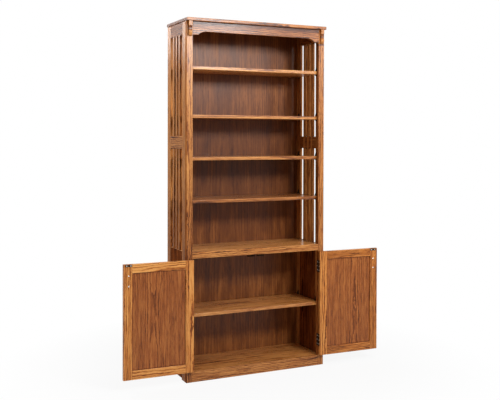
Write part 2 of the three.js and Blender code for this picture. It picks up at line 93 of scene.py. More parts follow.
# Shader trees in short lines
class Graph:
    def __init__(self, tree):
        self.tree = tree
        tree.nodes.clear()

    def node(self, kind, inputs=None, **settings):
        made = self.tree.nodes.new(kind)
        for name, value in settings.items():
            setattr(made, name, value)
        for key, value in (inputs or {}).items():
            self.feed(made.inputs[key], value)
        return made

    def feed(self, socket, value):
        if isinstance(value, bpy.types.NodeSocket):
            self.tree.links.new(value, socket)
        elif value is not None:
            socket.default_value = value

    def math(self, operation, a, b=None, c=None):
        return self.node("ShaderNodeMath", {0: a, 1: b, 2: c}, operation=operation).outputs[0]

    def add(self, base, value, factor):
        return self.math("MULTIPLY_ADD", value, factor, base)

    def stretch(self, vector, factors):
        return self.node("ShaderNodeVectorMath", {0: vector, 1: factors}, operation="MULTIPLY").outputs[0]

    def length(self, vector):
        return self.node("ShaderNodeVectorMath", {0: vector}, operation="LENGTH").outputs[1]

    def noise(self, vector, cycles, detail=2.0, roughness=0.5):
        place = self.stretch(vector, cycles)
        inputs = {"Vector": place, "Scale": 1.0, "Detail": detail, "Roughness": roughness}
        return self.node("ShaderNodeTexNoise", inputs).outputs[0]

    def span(self, value, low, high, to_low=0.0, to_high=1.0):
        inputs = {0: value, 1: low, 2: high, 3: to_low, 4: to_high}
        return self.node("ShaderNodeMapRange", inputs, clamp=True).outputs[0]

    def ramp(self, value, stops):
        made = self.node("ShaderNodeValToRGB", {0: value})
        elements = made.color_ramp.elements
        while len(elements) < len(stops):
            elements.new(1.0)
        for element, (place, color) in zip(elements, stops):
            element.position = place
            element.color = color
        return made.outputs[0]

    def blend(self, share, a, b):
        return self.node("ShaderNodeMix", {0: share, 6: a, 7: b}, data_type="RGBA").outputs[2]

    def bump(self, height, strength, depth):
        inputs = {"Strength": strength, "Distance": depth, "Height": height}
        return self.node("ShaderNodeBump", inputs).outputs[0]

    def attribute(self, name):
        return self.node("ShaderNodeAttribute", attribute_name=name, attribute_type="GEOMETRY")

    def surface(self, shader):
        self.node("ShaderNodeOutputMaterial", {"Surface": shader})


def srgb(red, green, blue):
    def linear(value):
        share = value / 255
        return share / 12.92 if share <= 0.04045 else ((share + 0.055) / 1.055) ** 2.4
    return linear(red), linear(green), linear(blue), 1.0


def new_material(name):
    material = bpy.data.materials.new(name)
    material.use_nodes = True
    return material, Graph(material.node_tree)


# Patterns of the oak: how often each varies in a metre along the trunk and in the two directions across
# it, how many finer layers it has and how strong they are
oak_patterns = {
    "wander": ((3.2, 8, 8), 1.0, 0.5),
    "ripple": ((26, 60, 60), 3.0, 0.6),
    "strength": ((6, 40, 40), 2.0, 0.5),
    "streak": ((5, 90, 90), 3.0, 0.65),
    "mottle": ((4, 18, 18), 2.0, 0.5),
    "dash": ((17, 125, 125), 2.0, 0.6),
    "pore": ((45, 420, 420), 2.0, 0.6),
}
band_pattern = ((0.8, 1, 1), 3.0, 0.6)

# Growth rings: how far they bend, how fast their bands change along the trunk, how unequal the years are,
# how strong the early wood is through one year, and where the rings are faint
wander_factor = 4
ripple_factor = 3
band_drift = 1.5
year_variation = 1.2
year_profile = ((0.0, 0.0), (0.07, 1.0), (0.26, 0.85), (0.42, 0.15), (0.6, 0.0), (1.0, 0.0))
strength_limits = (0.35, 0.62)
faintest_share = 0.45

# Dashes and pores: where their patterns begin to show and show in full, and how much they keep to the
# early wood
dash_limits = (0.48, 0.64)
dash_early_share = 0.5
pore_limits = (0.5, 0.66)
pore_early_share = 0.7

# The value of the wood before its figure, what end grain takes from it, and its relief and gloss
middle_value = 0.74
end_darkening = 0.25
end_roughness = 0.3
early_relief = 0.3
pore_relief = 0.7
relief_strength = 0.3
relief_depth_mm = 0.2
gloss_limits = (0.3, 1.2)


# Stained oak. The "tree" attribute places each point of a board in the trunk it was sawn from, with x
# along the trunk and y, z across it from the pith. "tone" sets one board against another and also carries
# the painted light and shade laid on boards, and "end" marks end grain, which takes more stain.
def oak(name, colors, ring_mm=8.5, ring_share=0.55, band_share=0.16, streak_share=0.38, mottle_share=0.2,
        dash_share=0.3, pore_share=0.15, wander_mm=2.4, roughness=(0.26, 0.34), specular=0.24, ior=1.5):
    material, graph = new_material(name)
    tree = graph.attribute("tree").outputs["Vector"]
    tone = graph.attribute("tone").outputs["Fac"]
    end = graph.attribute("end").outputs["Fac"]
    noise = {key: graph.noise(tree, *pattern) for key, pattern in oak_patterns.items()}

    across = graph.length(graph.stretch(tree, (0, 1, 1)))
    bent = graph.add(across, noise["wander"], wander_factor * wander_mm * MM)
    bent = graph.add(bent, noise["ripple"], ripple_factor * wander_mm * MM)
    rings = graph.math("DIVIDE", bent, ring_mm * MM)
    along = graph.node("ShaderNodeSeparateXYZ", {0: tree}).outputs[0]
    drift = graph.math("MULTIPLY", along, band_drift)
    ring_place = graph.node("ShaderNodeCombineXYZ", {0: rings, 1: drift}).outputs[0]
    band = graph.noise(ring_place, *band_pattern)

    years = graph.add(rings, band, year_variation)
    grays = [(place, (gray, gray, gray, 1)) for place, gray in year_profile]
    strength = graph.span(noise["strength"], *strength_limits, faintest_share, 1.0)
    early = graph.math("MULTIPLY", graph.ramp(graph.math("FRACT", years), grays), strength)

    def marks(pattern, limits, early_share):
        place = graph.add(1 - early_share, early, early_share)
        return graph.math("MULTIPLY", graph.span(pattern, *limits), place)

    dashes = marks(noise["dash"], dash_limits, dash_early_share)
    pores = marks(noise["pore"], pore_limits, pore_early_share)

    value = middle_value
    patterns = ((band, band_share), (noise["streak"], streak_share), (noise["mottle"], mottle_share))
    for pattern, share in patterns:
        value = graph.add(value, graph.math("SUBTRACT", pattern, 0.5), 2 * share)
    for mark, share in ((early, ring_share), (dashes, dash_share), (pores, pore_share)):
        value = graph.add(value, mark, -share)
    value = graph.add(graph.math("ADD", value, tone), end, -end_darkening)

    relief = graph.add(graph.math("MULTIPLY", early, -early_relief), pores, -pore_relief)
    gloss = graph.span(graph.math("ADD", noise["mottle"], pores), *gloss_limits, *roughness)
    shader = graph.node("ShaderNodeBsdfPrincipled", {
        "Base Color": graph.ramp(value, colors),
        "Normal": graph.bump(relief, relief_strength, relief_depth_mm * MM),
        "Roughness": graph.add(gloss, end, end_roughness)})
    shader.inputs["Specular IOR Level"].default_value = specular
    shader.inputs["IOR"].default_value = ior
    graph.surface(shader.outputs[0])
    return material


# Metal and plastic parts: fine grain that roughens them and slow stains that darken them
metal_grain = ((900, 900, 900), 3.0)
metal_stain = ((60, 60, 60), 2.0)
metal_relief_strength = 0.15
metal_relief_depth_mm = 0.1
metal_dark_value = 0.3
metal_light_value = 0.65
metal_gloss_limits = (0.6, 1.4)


def metal(name, light, dark, roughness, metallic, ior=1.5):
    material, graph = new_material(name)
    place = graph.node("ShaderNodeTexCoord").outputs["Object"]
    grain = graph.noise(place, *metal_grain)
    stain = graph.noise(place, *metal_stain)
    colors = [(metal_dark_value, srgb(*dark)), (metal_light_value, srgb(*light))]
    shader = graph.node("ShaderNodeBsdfPrincipled", {
        "Base Color": graph.ramp(stain, colors),
        "Normal": graph.bump(grain, metal_relief_strength, metal_relief_depth_mm * MM),
        "Roughness": graph.span(graph.math("ADD", grain, stain), *metal_gloss_limits, *roughness)})
    shader.inputs["Metallic"].default_value = metallic
    shader.inputs["IOR"].default_value = ior
    graph.surface(shader.outputs[0])
    return material


# Colours of a wood by value, from its darkest pores to its palest bands
def wood_colors(deepest, dark, light, palest, dark_value=0.3, light_value=0.6):
    stops = ((0.0, deepest), (dark_value, dark), (light_value, light), (1.0, palest))
    return [(value, srgb(*color)) for value, color in stops]


wider_values = (0.35, 0.65)
side_colors = wood_colors((44, 18, 4), (100, 50, 20), (152, 90, 42), (202, 136, 74))
materials = {
    "frame_oak": oak(
        "frame_oak_look",
        wood_colors((50, 20, 6), (106, 54, 22), (160, 96, 46), (208, 144, 80)),
        wander_mm=3.8),
    "side_oak": oak("side_oak_look", side_colors, specular=0.5, ior=1.1),
    "duller_oak": oak("duller_oak_look", side_colors, specular=0.5, ior=1.06),
    # A darker, less glossy copy of the side oak: painted shade for the side panels and the sideways faces of the
    # face stiles
    "shaded_oak": oak(
        "shaded_oak_look",
        wood_colors((42, 14, 2), (96, 44, 16), (146, 78, 34), (200, 130, 68)),
        specular=0.5, ior=1.02),
    "shelf_oak": oak(
        "shelf_oak_look",
        wood_colors((56, 24, 8), (114, 62, 26), (166, 102, 50), (212, 150, 84)),
        ring_mm=13.0, ring_share=0.42, streak_share=0.42, specular=0.38),
    "back_oak": oak(
        "back_oak_look",
        wood_colors((36, 14, 2), (78, 38, 14), (114, 64, 28), (166, 104, 52), *wider_values),
        ring_mm=14.0, ring_share=0.12, band_share=0.2, streak_share=0.2, mottle_share=0.32,
        dash_share=0.15, roughness=(0.34, 0.44)),
    "door_oak": oak(
        "door_oak_look",
        wood_colors((60, 22, 2), (134, 70, 26), (190, 116, 52), (230, 164, 90))),
    "panel_oak": oak(
        "panel_oak_look",
        wood_colors((58, 22, 4), (114, 58, 22), (152, 84, 38), (200, 130, 66), *wider_values),
        ring_mm=7.5, ring_share=0.45, band_share=0.1, streak_share=0.36, mottle_share=0.1),
    "dark_metal": metal(
        "dark_metal_look", (74, 54, 40), (36, 26, 19), (0.34, 0.5), metallic=0.85),
    "bright_metal": metal(
        "bright_metal_look", (244, 240, 234), (214, 208, 200), (0.24, 0.4), metallic=0.7),
    "catch_plastic": metal(
        "catch_plastic_look", (52, 34, 24), (38, 24, 17), (0.45, 0.6), metallic=0.0, ior=1.1),
}

# Pieces are made with the doors closed and the pin of each door at the origin. The case stays.
closing = {"case": Matrix.Identity(4)}
for joint in frame["joints"]:
    turn = Matrix.Rotation(math.radians(joint["range_deg"][0]), 4, Vector(joint["axis"]))
    closing[joint["child"]] = turn @ Matrix.Translation(-Vector(joint["pos_m"]))


def finish_piece(name, bm, body, slot, replaced=(), smooth_degrees=32, look=None):
    mesh = bpy.data.meshes.new(name)
    bmesh.ops.recalc_face_normals(bm, faces=bm.faces)
    bm.to_mesh(mesh)
    bm.free()
    for polygon in mesh.polygons:
        polygon.use_smooth = True
    mesh.set_sharp_from_angle(angle=math.radians(smooth_degrees))
    mesh.transform(closing[body].inverted())
    mesh.materials.append(materials[look or slot])
    piece = bpy.data.objects.new(name, mesh)
    scene.collection.objects.link(piece)
    even = piece.modifiers.new("even_normals", "WEIGHTED_NORMAL")
    even.keep_sharp = True
    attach(piece, body)
    if replaced:
        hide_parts(*replaced)
    return piece


# Points within the merging distance are one point, and faces within the flat angle are one face.
merge_mm = 0.001
flat_degrees = 0.5
same_place = 0.02 * MM
sharp_degrees = 40
rim_degrees = 50
rim_facing = 0.99


def join_flat(bm):
    bmesh.ops.dissolve_limit(bm, angle_limit=math.radians(flat_degrees), verts=bm.verts, edges=bm.edges)


def cad_mesh(node):
    bm = bmesh.new()
    bm.from_mesh(nodes[node].data)
    bmesh.ops.remove_doubles(bm, verts=bm.verts, dist=merge_mm * MM)
    join_flat(bm)
    bmesh.ops.transform(bm, matrix=closing[body_of[node]], verts=bm.verts)
    return bm


def cut(bm, place, normal, **cleared):
    bmesh.ops.bisect_plane(bm, geom=bm.verts[:] + bm.edges[:] + bm.faces[:], dist=merge_mm * MM,
                           plane_co=place, plane_no=normal, **cleared)


def extent(verts):
    low = Vector([min(vert.co[axis] for vert in verts) for axis in range(3)])
    high = Vector([max(vert.co[axis] for vert in verts) for axis in range(3)])
    return low, high


def closed_extent(node):
    bm = cad_mesh(node)
    low, high = extent(bm.verts)
    bm.free()
    return low, high


# Edges along two faces of the board's own box, so tenons, grooves and recesses stay sharp
def box_edges(bm, thin):
    low, high = extent(bm.verts)
    on_faces = [vert for vert in bm.verts
                if min(vert.co[thin] - low[thin], high[thin] - vert.co[thin]) < same_place]
    low, high = extent(on_faces)

    def planes(vert):
        found = {(axis, 0) for axis in range(3) if abs(vert.co[axis] - low[axis]) < same_place}
        return found | {(axis, 1) for axis in range(3) if abs(vert.co[axis] - high[axis]) < same_place}

    return [edge for edge in bm.edges if len(planes(edge.verts[0]) & planes(edge.verts[1])) >= 2]


# Edges around the two faces that look along one axis
def rim_edges(bm, axis):
    def is_rim(edge):
        faces = edge.link_faces
        return (len(faces) == 2 and edge.is_convex and edge.calc_face_angle() > math.radians(rim_degrees)
                and any(abs(face.normal[axis]) > rim_facing for face in faces))
    return [edge for edge in bm.edges if is_rim(edge)]


def sharp_edges(bm):
    limit = math.radians(sharp_degrees)
    return [edge for edge in bm.edges if edge.is_convex and edge.calc_face_angle(0) > limit]


def ease(bm, edges, radius, steps):
    bmesh.ops.bevel(bm, geom=edges, offset=radius, offset_type="OFFSET", segments=steps,
                    profile=0.5, affect="EDGES", clamp_overlap=True)


# How each board lies in its trunk, in mm: the pith's distance to the side of the board and behind it, and
# how far the trunk leans sideways and backwards in a metre. Boards that aren't named get a cut by lot,
# from the limits that follow.
cuts = {
    "valance": (40, 44, -4, 6),
    "back_panel": (60, 120, 4, 14),
    "left_face_stile": (16, 30, -6, 12),
    "right_face_stile": (-38, 36, 5, 10),
    "left_door_panel": (-34, 50, 2, 6),
    "right_door_panel": (44, 52, -3, 8),
    "left_door_hinge_stile": (20, 28, -16, 18),
    "right_door_hinge_stile": (30, 30, 10, 10),
    "left_door_top_rail": (28, 30, 14, 14),
    "left_door_bottom_rail": (-30, 34, 26, 30),
}
shift_limits = (35, 75)
depth_limits = (20, 50)
side_lean_limits = (-12, 12)
back_lean_limits = (-25, 25)

# Where a board starts in its trunk, in metres
start_limits = (0, 20)

# How much lighter or darker each board is than its kind
tones = {
    "valance": -0.12, "top_board": -0.1, "left_face_stile": 0.16, "right_face_stile": 0.02,
    "middle_rail": 0.16, "base_rail": 0.06, "left_side_front_stile": 0.28, "left_side_rear_stile": 0.26,
    "left_side_top_rail": -0.16, "left_side_middle_rail": 0.1, "left_side_panel": -0.2,
    "right_side_panel": -0.26, "right_side_rear_stile": 0.14, "shelf_1": 0.28, "shelf_2": 0.06,
    "shelf_4": -0.14, "fixed_shelf": 0.2, "cabinet_floor": 0.06, "cabinet_shelf": 0.1,
    "left_door_top_rail": 0.22, "left_door_bottom_rail": 0.1, "left_door_free_stile": 0.02,
    "left_door_hinge_stile": 0.04, "right_door_top_rail": -0.1, "right_door_bottom_rail": -0.14,
    "right_door_free_stile": -0.12, "right_door_hinge_stile": 0.02,
}

# Painted light and shade laid into the tone of a board: the axis and the end of it that is measured from,
# and the tone at each reach in mm. Between two reaches the tone changes evenly.
from_left = (0, 0)
from_foot = (2, 0)
from_top = (2, 1)
painted_shading = {
    # Painted shade under the top board, darkest in the top few mm of the valance
    "valance": [(from_top, ((0.0, -0.45), (3.5, -0.45), (7.0, -0.25), (14.0, -0.25), (34.0, 0.0)))],
    # Painted shade, the left face stile darker towards its foot
    "left_face_stile": [(from_foot, ((760.0, -0.22), (1300.0, 0.0)))],
    # Painted shadow under the nose of the right corbel
    "right_face_stile": [(from_top, ((88.0, 0.0), (90.0, -0.4), (97.0, -0.4), (103.0, 0.0)))],
    # Painted highlight, a light band along the top edge of the left side panel, on the sills between the slats
    "left_side_panel": [(from_top, ((0.3, 0.8), (0.6, 0.0)))],
    # Painted shade, the back panel darker through the lower bays
    "back_panel": [
        (from_foot, ((500.0, 0.0), (900.0, -0.08), (1160.0, -0.14), (1400.0, -0.08), (1750.0, 0.0)))],
}

# Painted shade in the hollow of each corbel
scoop_painted_shade = {"left": -0.35, "right": -0.1}
for side, scoop in scoop_painted_shade.items():
    # Painted shade around each door panel, in the recess along its frame
    painted_shading[side + "_door_panel"] = [
        ((axis, end), ((8.5, -0.4), (13.5, 0.0))) for axis in (0, 2) for end in (0, 1)]
    # Painted highlight on the head and nose of each corbel, and painted shade in its hollow
    painted_shading[side + "_corbel"] = [(from_top, ((24.0, 0.15), (30.0, scoop), (50.0, scoop), (60.0, 0.25)))]
for number in (1, 2, 3):
    tones[f"left_slat_{number}"] = 0.2
    tones[f"right_slat_{number}"] = 0.04
    # Painted shade in the slots, darkest through the middle of each left slat's thickness, and painted shade
    # towards its foot
    painted_shading[f"left_slat_{number}"] = [
        (from_left, ((2.5, 0.0), (5.0, -0.5), (10.5, -0.5), (13.0, 0.0))),
        (from_foot, ((100.0, -0.2), (400.0, 0.0)))]
    # Painted highlight in a strip by the inner face of each right slat, with slight painted shade beyond it
    painted_shading[f"right_slat_{number}"] = [
        (from_left, ((1.5, 0.3), (4.0, -0.05), (12.0, -0.05), (14.0, 0.0)))]
# Painted shade, the left side stiles darker towards their foot
for name in ("front_stile", "rear_stile"):
    painted_shading["left_side_" + name] = [(from_foot, ((760.0, -0.3), (900.0, -0.18), (1300.0, 0.0)))]


def painted_shading_tone(node, spot, low, high):
    found = 0.0
    for (axis, end), steps in painted_shading.get(node, ()):
        reach = (high[axis] - spot[axis] if end else spot[axis] - low[axis]) / MM
        here = steps[0][1] if reach < steps[0][0] else steps[-1][1]
        for (start, first), (stop, last) in zip(steps, steps[1:]):
            if start <= reach <= stop:
                here = first + (last - first) * (reach - start) / (stop - start)
        found = here if abs(here) > abs(found) else found
    return found


def cut_at_painted_shading(bm, node, low, high):
    for (axis, end), steps in painted_shading.get(node, ()):
        for reach, tone in steps:
            normal = Vector((0, 0, 0))
            normal[axis] = 1.0
            place = Vector((0, 0, 0))
            place[axis] = high[axis] - reach * MM if end else low[axis] + reach * MM
            cut(bm, place, normal)


# A face of end grain looks along the board by at least this much.
end_facing = 0.8


def add_tree(bm, node, thin, wide, long):
    dice = random.Random("oak " + node)
    by_lot = (
        dice.choice((-1, 1)) * dice.uniform(*shift_limits), dice.uniform(*depth_limits),
        dice.uniform(*side_lean_limits), dice.uniform(*back_lean_limits))
    shift, depth, lean_side, lean_back = cuts.get(node, by_lot)
    start = dice.uniform(*start_limits)
    low, high = extent(bm.verts)
    centre = (low + high) / 2
    cut_at_painted_shading(bm, node, low, high)
    tree = bm.verts.layers.float_vector.new("tree")
    tone = bm.verts.layers.float.new("tone")
    for vert in bm.verts:
        offset = vert.co - centre
        reach = offset[long]
        vert[tree] = Vector((
            start + reach,
            offset[wide] + shift * MM + reach * lean_side * MM,
            offset[thin] + depth * MM + reach * lean_back * MM))
        vert[tone] = tones.get(node, 0.0) + painted_shading_tone(node, vert.co, low, high)
    end = bm.faces.layers.float.new("end")
    for face in bm.faces:
        face.normal_update()
        face[end] = 1.0 if abs(face.normal[long]) > end_facing else 0.0


def axes_by_size(bm):
    low, high = extent(bm.verts)
    size = high - low
    return sorted(range(3), key=lambda axis: size[axis])


# Radii of the eased edges. The rails of the doors are also rounded over along the panel, towards the
# case, and the top board keeps the edges that it has.
board_edge_mm = 0.8
shelf_edge_mm = 1.8
panel_edge_mm = 0.4
clip_edge_mm = 0.3
rail_round_mm = 3.0


def round_over(bm, node):
    thin, wide, long = axes_by_size(bm)
    edges = box_edges(bm, thin)
    low, high = extent({vert for edge in edges for vert in edge.verts})
    inner = high[wide] if "bottom" in node else low[wide]

    def along_panel(edge):
        return all(high[thin] - vert.co[thin] < same_place and abs(vert.co[wide] - inner) < same_place
                   for vert in edge.verts)

    ease(bm, [edge for edge in edges if along_panel(edge)], rail_round_mm * MM, steps=5)


# Boards whose look isn't that of their slot: the side panels wear the darker copy of the side oak as painted
# shade, and the side top rails a less glossy copy. Some boards have a second look on the faces that look along
# one axis by at least this much.
other_looks = {
    "left_side_panel": "shaded_oak", "right_side_panel": "shaded_oak", "left_side_top_rail": "duller_oak",
    "right_side_top_rail": "duller_oak",
}
second_facing = 0.7


def second_look(piece, look, is_for):
    piece.data.materials.append(materials[look])
    for polygon in piece.data.polygons:
        polygon.material_index = 1 if is_for(polygon.normal) else 0


def finish_wood(bm, node):
    look = other_looks.get(node)
    return finish_piece(node + "_wood", bm, body_of[node], slots[node], [node], look=look)


def board(node, radius_mm, bm=None):
    bm = bm or cad_mesh(node)
    thin, wide, long = axes_by_size(bm)
    if "_door_" in node and node.endswith("_rail"):
        round_over(bm, node)
    if radius_mm:
        ease(bm, box_edges(bm, thin), radius_mm * MM, steps=3)
    add_tree(bm, node, thin, wide, long)
    piece = finish_wood(bm, node)
    # The sideways faces of the face stiles take the darker copy, painted shade on their inner edges
    if node.endswith("_face_stile"):
        second_look(piece, "shaded_oak", lambda normal: abs(normal.x) > second_facing)
    # The upward faces of the side panels keep the lighter, glossier frame oak, brighter than the painted shade of
    # the rest
    if node.endswith("_side_panel"):
        second_look(piece, "frame_oak", lambda normal: normal.z > second_facing)


# Boards sawn to a curve, seen along one axis
def profiled(node, axis):
    bm = cad_mesh(node)
    thin, wide, long = axes_by_size(bm)
    ease(bm, rim_edges(bm, axis), board_edge_mm * MM, steps=2)
    add_tree(bm, node, thin, wide, long)
    finish_wood(bm, node)


# Clips and the side stiles that carry them. They are parted just off the wall of the case, and what is
# left on the stile goes back to the wall.
clip_root_mm = 0.1


def wall_place(side):
    low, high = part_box(("left" if side < 0 else "right") + "_side_panel")
    return (high.x if side < 0 else low.x) - side * clip_root_mm * MM


def cut_at_wall(bm, side, keep_inside):
    place = Vector((wall_place(side), 0, 0))
    cut(bm, place, Vector((side, 0, 0)), clear_outer=keep_inside, clear_inner=not keep_inside)
    bmesh.ops.holes_fill(bm, edges=[edge for edge in bm.edges if edge.is_boundary], sides=0)


def side_stile(node, side):
    bm = cad_mesh(node)
    cut_at_wall(bm, side, keep_inside=False)
    wall = wall_place(side) + side * clip_root_mm * MM
    for vert in bm.verts:
        if side * (wall - vert.co.x) > 0:
            vert.co.x = wall
    bmesh.ops.remove_doubles(bm, verts=bm.verts, dist=merge_mm * MM)
    bmesh.ops.dissolve_degenerate(bm, edges=bm.edges, dist=merge_mm * MM)
    join_flat(bm)
    board(node, board_edge_mm, bm)

    clips = cad_mesh(node)
    cut_at_wall(clips, side, keep_inside=True)
    join_flat(clips)
    ease(clips, sharp_edges(clips), clip_edge_mm * MM, steps=2)
    finish_piece(node.replace("stile", "clips"), clips, "case", "dark_metal")


for node, slot in sorted(slots.items()):
    if not slot.endswith("_oak"):
        continue
    if node == "top_board":
        board(node, 0)
    elif node == "valance":
        profiled(node, 1)
    elif node.endswith("corbel"):
        profiled(node, 0)
    elif node.endswith("_side_front_stile") or node.endswith("_side_rear_stile"):
        side_stile(node, sides[node.split("_")[0]])
    elif "shelf" in node or node == "cabinet_floor":
        board(node, shelf_edge_mm)
    elif "panel" in node:
        board(node, panel_edge_mm)
    else:
        board(node, board_edge_mm)


# Small metal parts are drawn in mm about a point or line of their own, and then set in place.
def prism(outline, axis, low, high):
    bm = bmesh.new()

    def place(a, b, c):
        spot = [0.0, 0.0, 0.0]
        spot[axis], spot[(axis + 1) % 3], spot[(axis + 2) % 3] = c, a, b
        return spot

    near = [bm.verts.new(place(a, b, low)) for a, b in outline]
    far = [bm.verts.new(place(a, b, high)) for a, b in outline]
    bm.faces.new(near)
    bm.faces.new(list(reversed(far)))
    for index in range(len(outline)):
        after = (index + 1) % len(outline)
        bm.faces.new((near[index], near[after], far[after], far[index]))
    return bm


# An outline from square corners as (x, y, radius). A corner without a radius stays sharp.
def rounded(corners, steps=6):
    outline = []
    for index, (x, y, radius) in enumerate(corners):
        here = Vector((x, y))
        if not radius:
            outline.append((x, y))
            continue
        back = (Vector(corners[index - 1][:2]) - here).normalized() * radius
        ahead = (Vector(corners[(index + 1) % len(corners)][:2]) - here).normalized() * radius
        for step in range(steps + 1):
            angle = math.radians(90) * step / steps
            spot = here + back + ahead - ahead * math.cos(angle) - back * math.sin(angle)
            outline.append((spot.x, spot.y))
    return outline


def lathe(profile, steps=32):
    bm = bmesh.new()
    spots = [bm.verts.new((radius, 0, height)) for radius, height in profile]
    edges = [bm.edges.new(pair) for pair in zip(spots, spots[1:])]
    bmesh.ops.spin(bm, geom=spots + edges, axis=(0, 0, 1), cent=(0, 0, 0), angle=math.radians(360),
                   steps=steps)
    bmesh.ops.remove_doubles(bm, verts=bm.verts, dist=merge_mm)
    return bm


def merge(bm, part, place=Matrix.Identity(4)):
    bmesh.ops.transform(part, matrix=place, verts=part.verts)
    mesh = bpy.data.meshes.new("passing")
    part.to_mesh(mesh)
    part.free()
    bm.from_mesh(mesh)
    bpy.data.meshes.remove(mesh)


def set_in_place(bm, place, turn=Matrix.Identity(4)):
    scaled = Matrix.Translation(place) @ Matrix.Scale(MM, 4)
    bmesh.ops.transform(bm, matrix=scaled @ turn, verts=bm.verts)


# A screw head with a cross recess, its seat at height 0 and its shank below. The depth of the recess and
# the height of the rim are shares of the head's height, and the other shares are of its radius.
screw_angles = 48
screw_ring_shares = (0.08, 0.16, 0.24, 0.34, 0.46, 0.58, 0.7, 0.82, 0.92, 1.0)
recess_reach_share = 0.58
recess_half_width_share = 0.13
recess_slope_share = 0.06
recess_depth_share = 0.6
rim_height_share = 0.25
seat_share = 0.96
dome_power = 2.6


def screw(radius, height, shank_radius, shank_length, dome=0.35):
    bm = bmesh.new()
    arm_length = recess_reach_share * radius
    arm_half = recess_half_width_share * radius
    slope = recess_slope_share * radius
    depth = recess_depth_share * height

    def top_height(x, y):
        out = math.hypot(x, y) / radius
        along_x = min(arm_length - abs(x), arm_half - abs(y))
        along_y = min(arm_length - abs(y), arm_half - abs(x))
        sunk = depth * min(max(max(along_x, along_y) / slope, 0.0), 1.0)
        return height * (1 - dome * out ** dome_power) - sunk

    def ring(out, level=None):
        turned = [2 * math.pi * index / screw_angles for index in range(screw_angles)]
        spots = [(out * math.cos(angle), out * math.sin(angle)) for angle in turned]
        return [bm.verts.new((x, y, top_height(x, y) if level is None else level)) for x, y in spots]

    rings = [ring(radius * share) for share in screw_ring_shares]
    rings += [ring(radius, rim_height_share * height), ring(radius * seat_share, 0.0)]
    rings += [ring(shank_radius, 0.0), ring(shank_radius, -shank_length)]
    for inner, outer in zip(rings, rings[1:]):
        for index in range(screw_angles):
            after = (index + 1) % screw_angles
            bm.faces.new((inner[index], inner[after], outer[after], outer[index]))
    middle = bm.verts.new((0, 0, top_height(0, 0)))
    for index in range(screw_angles):
        bm.faces.new((middle, rings[0][index], rings[0][(index + 1) % screw_angles]))
    bm.faces.new(rings[-1])
    return bm


# Butt hinges, in mm: a plate let into the wood, knuckles on the pin line and three screws in each leaf. A
# leaf screw's place is a share of the leaf's height and its reach from the pin.
hinge_pin_inset = 1.0
leaf_thickness = 1.5
leaf_reach = 20.3
leaf_corner = 2.5
leaf_root = 1.6
leaf_edge = 0.25
knuckle_radius = 3.0
knuckle_bore = 1.6
knuckle_count = 5
knuckle_gap = 0.4
knuckle_notch = 3.3
knuckle_rim = 0.3
pin_radius = 1.4
pin_head_radius = 2.4
pin_head_height = 1.5
pin_head_rim = 0.5
pin_end_gap = 0.3
leaf_screw_radius = 3.7
leaf_screw_height = 0.45
leaf_shank_radius = 1.6
leaf_shank_length = 8.0
leaf_screw_places = ((1 / 6, 11.0), (1 / 2, 14.0), (5 / 6, 11.0))


def knuckle(low, high):
    return lathe([
        (knuckle_bore, low), (knuckle_radius - knuckle_rim, low), (knuckle_radius, low + knuckle_rim),
        (knuckle_radius, high - knuckle_rim), (knuckle_radius - knuckle_rim, high), (knuckle_bore, high),
        (knuckle_bore, low)])


def leaf(bottom, top, into_wood, kept):
    pitch = (top - bottom) / knuckle_count
    spans = [(bottom + index * pitch + (knuckle_gap / 2 if index > 0 else 0),
              bottom + (index + 1) * pitch - (knuckle_gap / 2 if index < knuckle_count - 1 else 0))
             for index in range(knuckle_count)]
    corners = [] if 0 in kept else [(knuckle_notch, bottom, 0)]
    for index in kept:
        low, high = spans[index]
        corners += [(knuckle_notch, low, 0)] if index > 0 else []
        corners += [(leaf_root, low, 0), (leaf_root, high, 0)]
        corners += [(knuckle_notch, high, 0)] if index < knuckle_count - 1 else []
    corners += [] if knuckle_count - 1 in kept else [(knuckle_notch, top, 0)]
    corners += [(leaf_reach, top, leaf_corner), (leaf_reach, bottom, leaf_corner)]
    near, far = sorted((into_wood * hinge_pin_inset, into_wood * (hinge_pin_inset + leaf_thickness)))
    bm = prism(rounded(corners), 0, near, far)
    ease(bm, sharp_edges(bm), leaf_edge, steps=2)
    for index in kept:
        merge(bm, knuckle(*spans[index]))
    return bm


def pin(bottom, top):
    low = bottom - pin_end_gap - pin_head_height
    high = top + pin_end_gap + pin_head_height
    return lathe([
        (0, low), (pin_head_radius - pin_head_rim, low), (pin_head_radius, low + pin_head_rim),
        (pin_head_radius, low + pin_head_height), (pin_radius, low + pin_head_height),
        (pin_radius, high - pin_head_height), (pin_head_radius, high - pin_head_height),
        (pin_head_radius, high - pin_head_rim), (pin_head_radius - pin_head_rim, high), (0, high)])


def hinge(name, side, pin_place, body):
    low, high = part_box(name + "_hinge_frame_leaf")
    bottom, top = low.z / MM, high.z / MM
    on_door = body != "case"
    into_wood = -side if on_door else side
    place = Vector((0, 0, -pin_place.z)) if on_door else Vector((pin_place.x, pin_place.y, 0))
    kept = range(1 if on_door else 0, knuckle_count, 2)
    bm = leaf(bottom, top, into_wood, kept)
    if on_door:
        merge(bm, pin(bottom, top))
    set_in_place(bm, place)
    node = name + ("_hinge_door_leaf" if on_door else "_hinge_frame_leaf")
    finish_piece(node + "_metal", bm, body, "dark_metal", [node])

    screws = bmesh.new()
    facing = Matrix.Rotation(math.radians(-90) * into_wood, 4, "Y")
    for share, reach in leaf_screw_places:
        spot = Vector((into_wood * hinge_pin_inset, reach, bottom + share * (top - bottom)))
        head = screw(leaf_screw_radius, leaf_screw_height, leaf_shank_radius, leaf_shank_length)
        merge(screws, head, Matrix.Translation(spot) @ facing)
    set_in_place(screws, place)
    finish_piece(node + "_screws", screws, body, "bright_metal")


